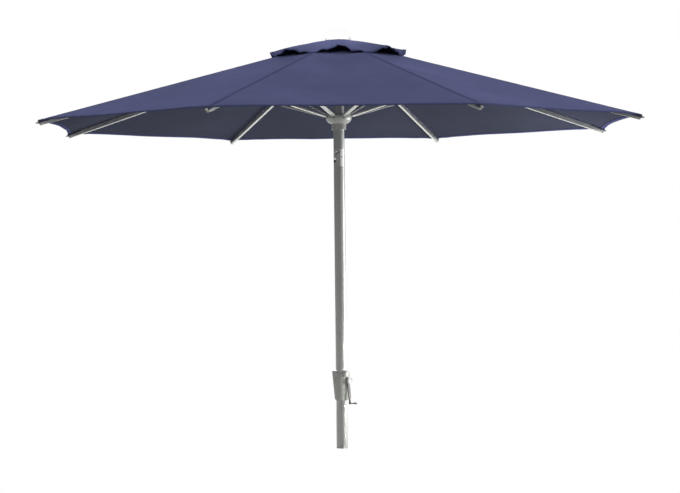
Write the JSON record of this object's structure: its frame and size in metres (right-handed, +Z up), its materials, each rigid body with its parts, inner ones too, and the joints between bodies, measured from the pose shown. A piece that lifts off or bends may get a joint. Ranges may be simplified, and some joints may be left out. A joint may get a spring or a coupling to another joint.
{
  "type": "patio umbrella",
  "caption": "Octagonal centre-pole patio umbrella with a crank housing, a tilting upper pole, folding ribs and struts, a fabric canopy and a vent cap; no base.",
  "frame": {"origin": "centre of the pole's lower end", "axes": "+Z up along the pole, -Y the front, +X to the right of someone facing the front"},
  "size_m": [2.4972, 2.4972, 1.811],
  "materials": {
    "pole_aluminium": "satin anodised",
    "rib_aluminium": "satin anodised",
    "polished_aluminium": "polished",
    "grey_plastic": "fine-grained moulded",
    "dark_plastic": "moulded",
    "white_plastic": "moulded",
    "dark_metal": "powder-coated",
    "steel": "plain",
    "navy_fabric": "woven"
  },
  "bodies": {
    "lower_pole": {"pole_lower": "pole_aluminium", "pole_foot_plug": "dark_plastic"},
    "crank_stand": {"crank_housing_front": "grey_plastic", "crank_housing_back": "grey_plastic", "housing_screws": "steel", "pole_clip": "polished_aluminium", "pole_mid": "pole_aluminium", "tilt_fork": "polished_aluminium", "tilt_pin": "steel"},
    "crank": {"crank_spindle": "steel", "cord_spool": "dark_plastic", "crank_hub": "white_plastic", "crank_arm": "dark_metal"},
    "crank_grip": {"crank_grip": "dark_plastic"},
    "tilt_button": {"tilt_button": "dark_plastic", "tilt_button_spring": "steel"},
    "upper_pole": {"pole_upper": "pole_aluminium", "tilt_tongue": "polished_aluminium", "crown_hub": "grey_plastic", "crown_cover": "grey_plastic", "crown_ring": "steel", "pulley_pin": "steel", "finial": "white_plastic", "finial_stud": "steel", "vent_cap": "navy_fabric"},
    "cord_pulley": {"cord_pulley": "white_plastic"},
    "runner": {"runner_body": "grey_plastic", "runner_ring": "steel"},
    "rib_1": {"rib_1": "rib_aluminium", "rib_tip_1": "grey_plastic", "canopy_panel_1": "navy_fabric"},
    "strut_1": {"strut_1": "rib_aluminium"},
    "rib_2": {"rib_2": "rib_aluminium", "rib_tip_2": "grey_plastic", "canopy_panel_2": "navy_fabric"},
    "strut_2": {"strut_2": "rib_aluminium"},
    "rib_3": {"rib_3": "rib_aluminium", "rib_tip_3": "grey_plastic", "canopy_panel_3": "navy_fabric"},
    "strut_3": {"strut_3": "rib_aluminium"},
    "rib_4": {"rib_4": "rib_aluminium", "rib_tip_4": "grey_plastic", "canopy_panel_4": "navy_fabric"},
    "strut_4": {"strut_4": "rib_aluminium"},
    "rib_5": {"rib_5": "rib_aluminium", "rib_tip_5": "grey_plastic", "canopy_panel_5": "navy_fabric"},
    "strut_5": {"strut_5": "rib_aluminium"},
    "rib_6": {"rib_6": "rib_aluminium", "rib_tip_6": "grey_plastic", "canopy_panel_6": "navy_fabric"},
    "strut_6": {"strut_6": "rib_aluminium"},
    "rib_7": {"rib_7": "rib_aluminium", "rib_tip_7": "grey_plastic", "canopy_panel_7": "navy_fabric"},
    "strut_7": {"strut_7": "rib_aluminium"},
    "rib_8": {"rib_8": "rib_aluminium", "rib_tip_8": "grey_plastic", "canopy_panel_8": "navy_fabric"},
    "strut_8": {"strut_8": "rib_aluminium"}
  },
  "joints": [
    {"name": "pole_join", "type": "slide", "parent": "lower_pole", "child": "crank_stand", "axis": [0, 0, 1], "range_m": [0, 0.06]},
    {"name": "crank_turn", "type": "hinge", "parent": "crank_stand", "child": "crank", "pos_m": [0, 0, 0.294], "axis": [0.8387, -0.5446, 0], "range_deg": [-2925.2, 2]},
    {"name": "grip_spin", "type": "hinge", "parent": "crank", "child": "crank_grip", "pos_m": [0.05032, -0.03268, 0.198], "axis": [0.8387, -0.5446, 0], "continuous": true},
    {"name": "tilt_release", "type": "slide", "parent": "crank_stand", "child": "tilt_button", "axis": [0.5, -0.866, 0], "range_m": [0, 0.0025], "stiffness_N_per_m": 400, "deforming": ["tilt_button_spring"]},
    {"name": "pole_tilt", "type": "hinge", "parent": "crank_stand", "child": "upper_pole", "pos_m": [0, 0, 1.268], "axis": [0.5, -0.866, 0], "range_deg": [0, 35]},
    {"name": "pulley_turn", "type": "hinge", "parent": "upper_pole", "child": "cord_pulley", "pos_m": [0.018, 0, 1.7315], "axis": [0, 1, 0], "range_deg": [-4178, 2]},
    {"name": "canopy_fold", "type": "hinge", "parent": "upper_pole", "child": "rib_1", "pos_m": [0.04157, 0.01722, 1.7335], "axis": [0.3827, -0.9239, 0], "range_deg": [-69.6, 0], "deforming": ["canopy_panel_1", "canopy_panel_2", "canopy_panel_3", "canopy_panel_4", "canopy_panel_5", "canopy_panel_6", "canopy_panel_7", "canopy_panel_8", "vent_cap"]},
    {"name": "strut_1_pivot", "type": "hinge", "parent": "rib_1", "child": "strut_1", "pos_m": [0.53146, 0.22014, 1.58744], "axis": [0.3827, -0.9239, 0], "range_deg": [-1, 140.2]},
    {"name": "runner_slide", "type": "hinge", "parent": "strut_1", "child": "runner", "pos_m": [0.04157, 0.01722, 1.44139], "axis": [0.3827, -0.9239, 0], "range_deg": [-70.1, 0.5]},
    {"name": "rib_2_fold", "type": "hinge", "parent": "upper_pole", "child": "rib_2", "pos_m": [0.01722, 0.04157, 1.7335], "axis": [0.9239, -0.3827, 0], "range_deg": [-70.1, 0.5], "deforming": ["canopy_panel_2"]},
    {"name": "strut_2_pivot", "type": "hinge", "parent": "rib_2", "child": "strut_2", "pos_m": [0.22014, 0.53146, 1.58744], "axis": [0.9239, -0.3827, 0], "range_deg": [-1, 140.2]},
    {"name": "rib_3_fold", "type": "hinge", "parent": "upper_pole", "child": "rib_3", "pos_m": [-0.01722, 0.04157, 1.7335], "axis": [0.9239, 0.3827, 0], "range_deg": [-70.1, 0.5], "deforming": ["canopy_panel_3"]},
    {"name": "strut_3_pivot", "type": "hinge", "parent": "rib_3", "child": "strut_3", "pos_m": [-0.22014, 0.53146, 1.58744], "axis": [0.9239, 0.3827, 0], "range_deg": [-1, 140.2]},
    {"name": "rib_4_fold", "type": "hinge", "parent": "upper_pole", "child": "rib_4", "pos_m": [-0.04157, 0.01722, 1.7335], "axis": [0.3827, 0.9239, 0], "range_deg": [-70.1, 0.5], "deforming": ["canopy_panel_4"]},
    {"name": "strut_4_pivot", "type": "hinge", "parent": "rib_4", "child": "strut_4", "pos_m": [-0.53146, 0.22014, 1.58744], "axis": [0.3827, 0.9239, 0], "range_deg": [-1, 140.2]},
    {"name": "rib_5_fold", "type": "hinge", "parent": "upper_pole", "child": "rib_5", "pos_m": [-0.04157, -0.01722, 1.7335], "axis": [-0.3827, 0.9239, 0], "range_deg": [-70.1, 0.5], "deforming": ["canopy_panel_5"]},
    {"name": "strut_5_pivot", "type": "hinge", "parent": "rib_5", "child": "strut_5", "pos_m": [-0.53146, -0.22014, 1.58744], "axis": [-0.3827, 0.9239, 0], "range_deg": [-1, 140.2]},
    {"name": "rib_6_fold", "type": "hinge", "parent": "upper_pole", "child": "rib_6", "pos_m": [-0.01722, -0.04157, 1.7335], "axis": [-0.9239, 0.3827, 0], "range_deg": [-70.1, 0.5], "deforming": ["canopy_panel_6"]},
    {"name": "strut_6_pivot", "type": "hinge", "parent": "rib_6", "child": "strut_6", "pos_m": [-0.22014, -0.53146, 1.58744], "axis": [-0.9239, 0.3827, 0], "range_deg": [-1, 140.2]},
    {"name": "rib_7_fold", "type": "hinge", "parent": "upper_pole", "child": "rib_7", "pos_m": [0.01722, -0.04157, 1.7335], "axis": [-0.9239, -0.3827, 0], "range_deg": [-70.1, 0.5], "deforming": ["canopy_panel_7"]},
    {"name": "strut_7_pivot", "type": "hinge", "parent": "rib_7", "child": "strut_7", "pos_m": [0.22014, -0.53146, 1.58744], "axis": [-0.9239, -0.3827, 0], "range_deg": [-1, 140.2]},
    {"name": "rib_8_fold", "type": "hinge", "parent": "upper_pole", "child": "rib_8", "pos_m": [0.04157, -0.01722, 1.7335], "axis": [-0.3827, -0.9239, 0], "range_deg": [-70.1, 0.5], "deforming": ["canopy_panel_8"]},
    {"name": "strut_8_pivot", "type": "hinge", "parent": "rib_8", "child": "strut_8", "pos_m": [0.53146, -0.22014, 1.58744], "axis": [-0.3827, -0.9239, 0], "range_deg": [-1, 140.2]}
  ],
  "couplings": [
    {"joint": "crank_turn", "follows": "canopy_fold", "ratio": 42},
    {"joint": "pulley_turn", "follows": "canopy_fold", "ratio": 60},
    {"joint": "strut_1_pivot", "follows": "canopy_fold", "ratio": -2},
    {"joint": "runner_slide", "follows": "canopy_fold", "ratio": 1},
    {"joint": "rib_2_fold", "follows": "canopy_fold", "ratio": 1},
    {"joint": "strut_2_pivot", "follows": "canopy_fold", "ratio": -2},
    {"joint": "rib_3_fold", "follows": "canopy_fold", "ratio": 1},
    {"joint": "strut_3_pivot", "follows": "canopy_fold", "ratio": -2},
    {"joint": "rib_4_fold", "follows": "canopy_fold", "ratio": 1},
    {"joint": "strut_4_pivot", "follows": "canopy_fold", "ratio": -2},
    {"joint": "rib_5_fold", "follows": "canopy_fold", "ratio": 1},
    {"joint": "strut_5_pivot", "follows": "canopy_fold", "ratio": -2},
    {"joint": "rib_6_fold", "follows": "canopy_fold", "ratio": 1},
    {"joint": "strut_6_pivot", "follows": "canopy_fold", "ratio": -2},
    {"joint": "rib_7_fold", "follows": "canopy_fold", "ratio": 1},
    {"joint": "strut_7_pivot", "follows": "canopy_fold", "ratio": -2},
    {"joint": "rib_8_fold", "follows": "canopy_fold", "ratio": 1},
    {"joint": "strut_8_pivot", "follows": "canopy_fold", "ratio": -2}
  ]
}
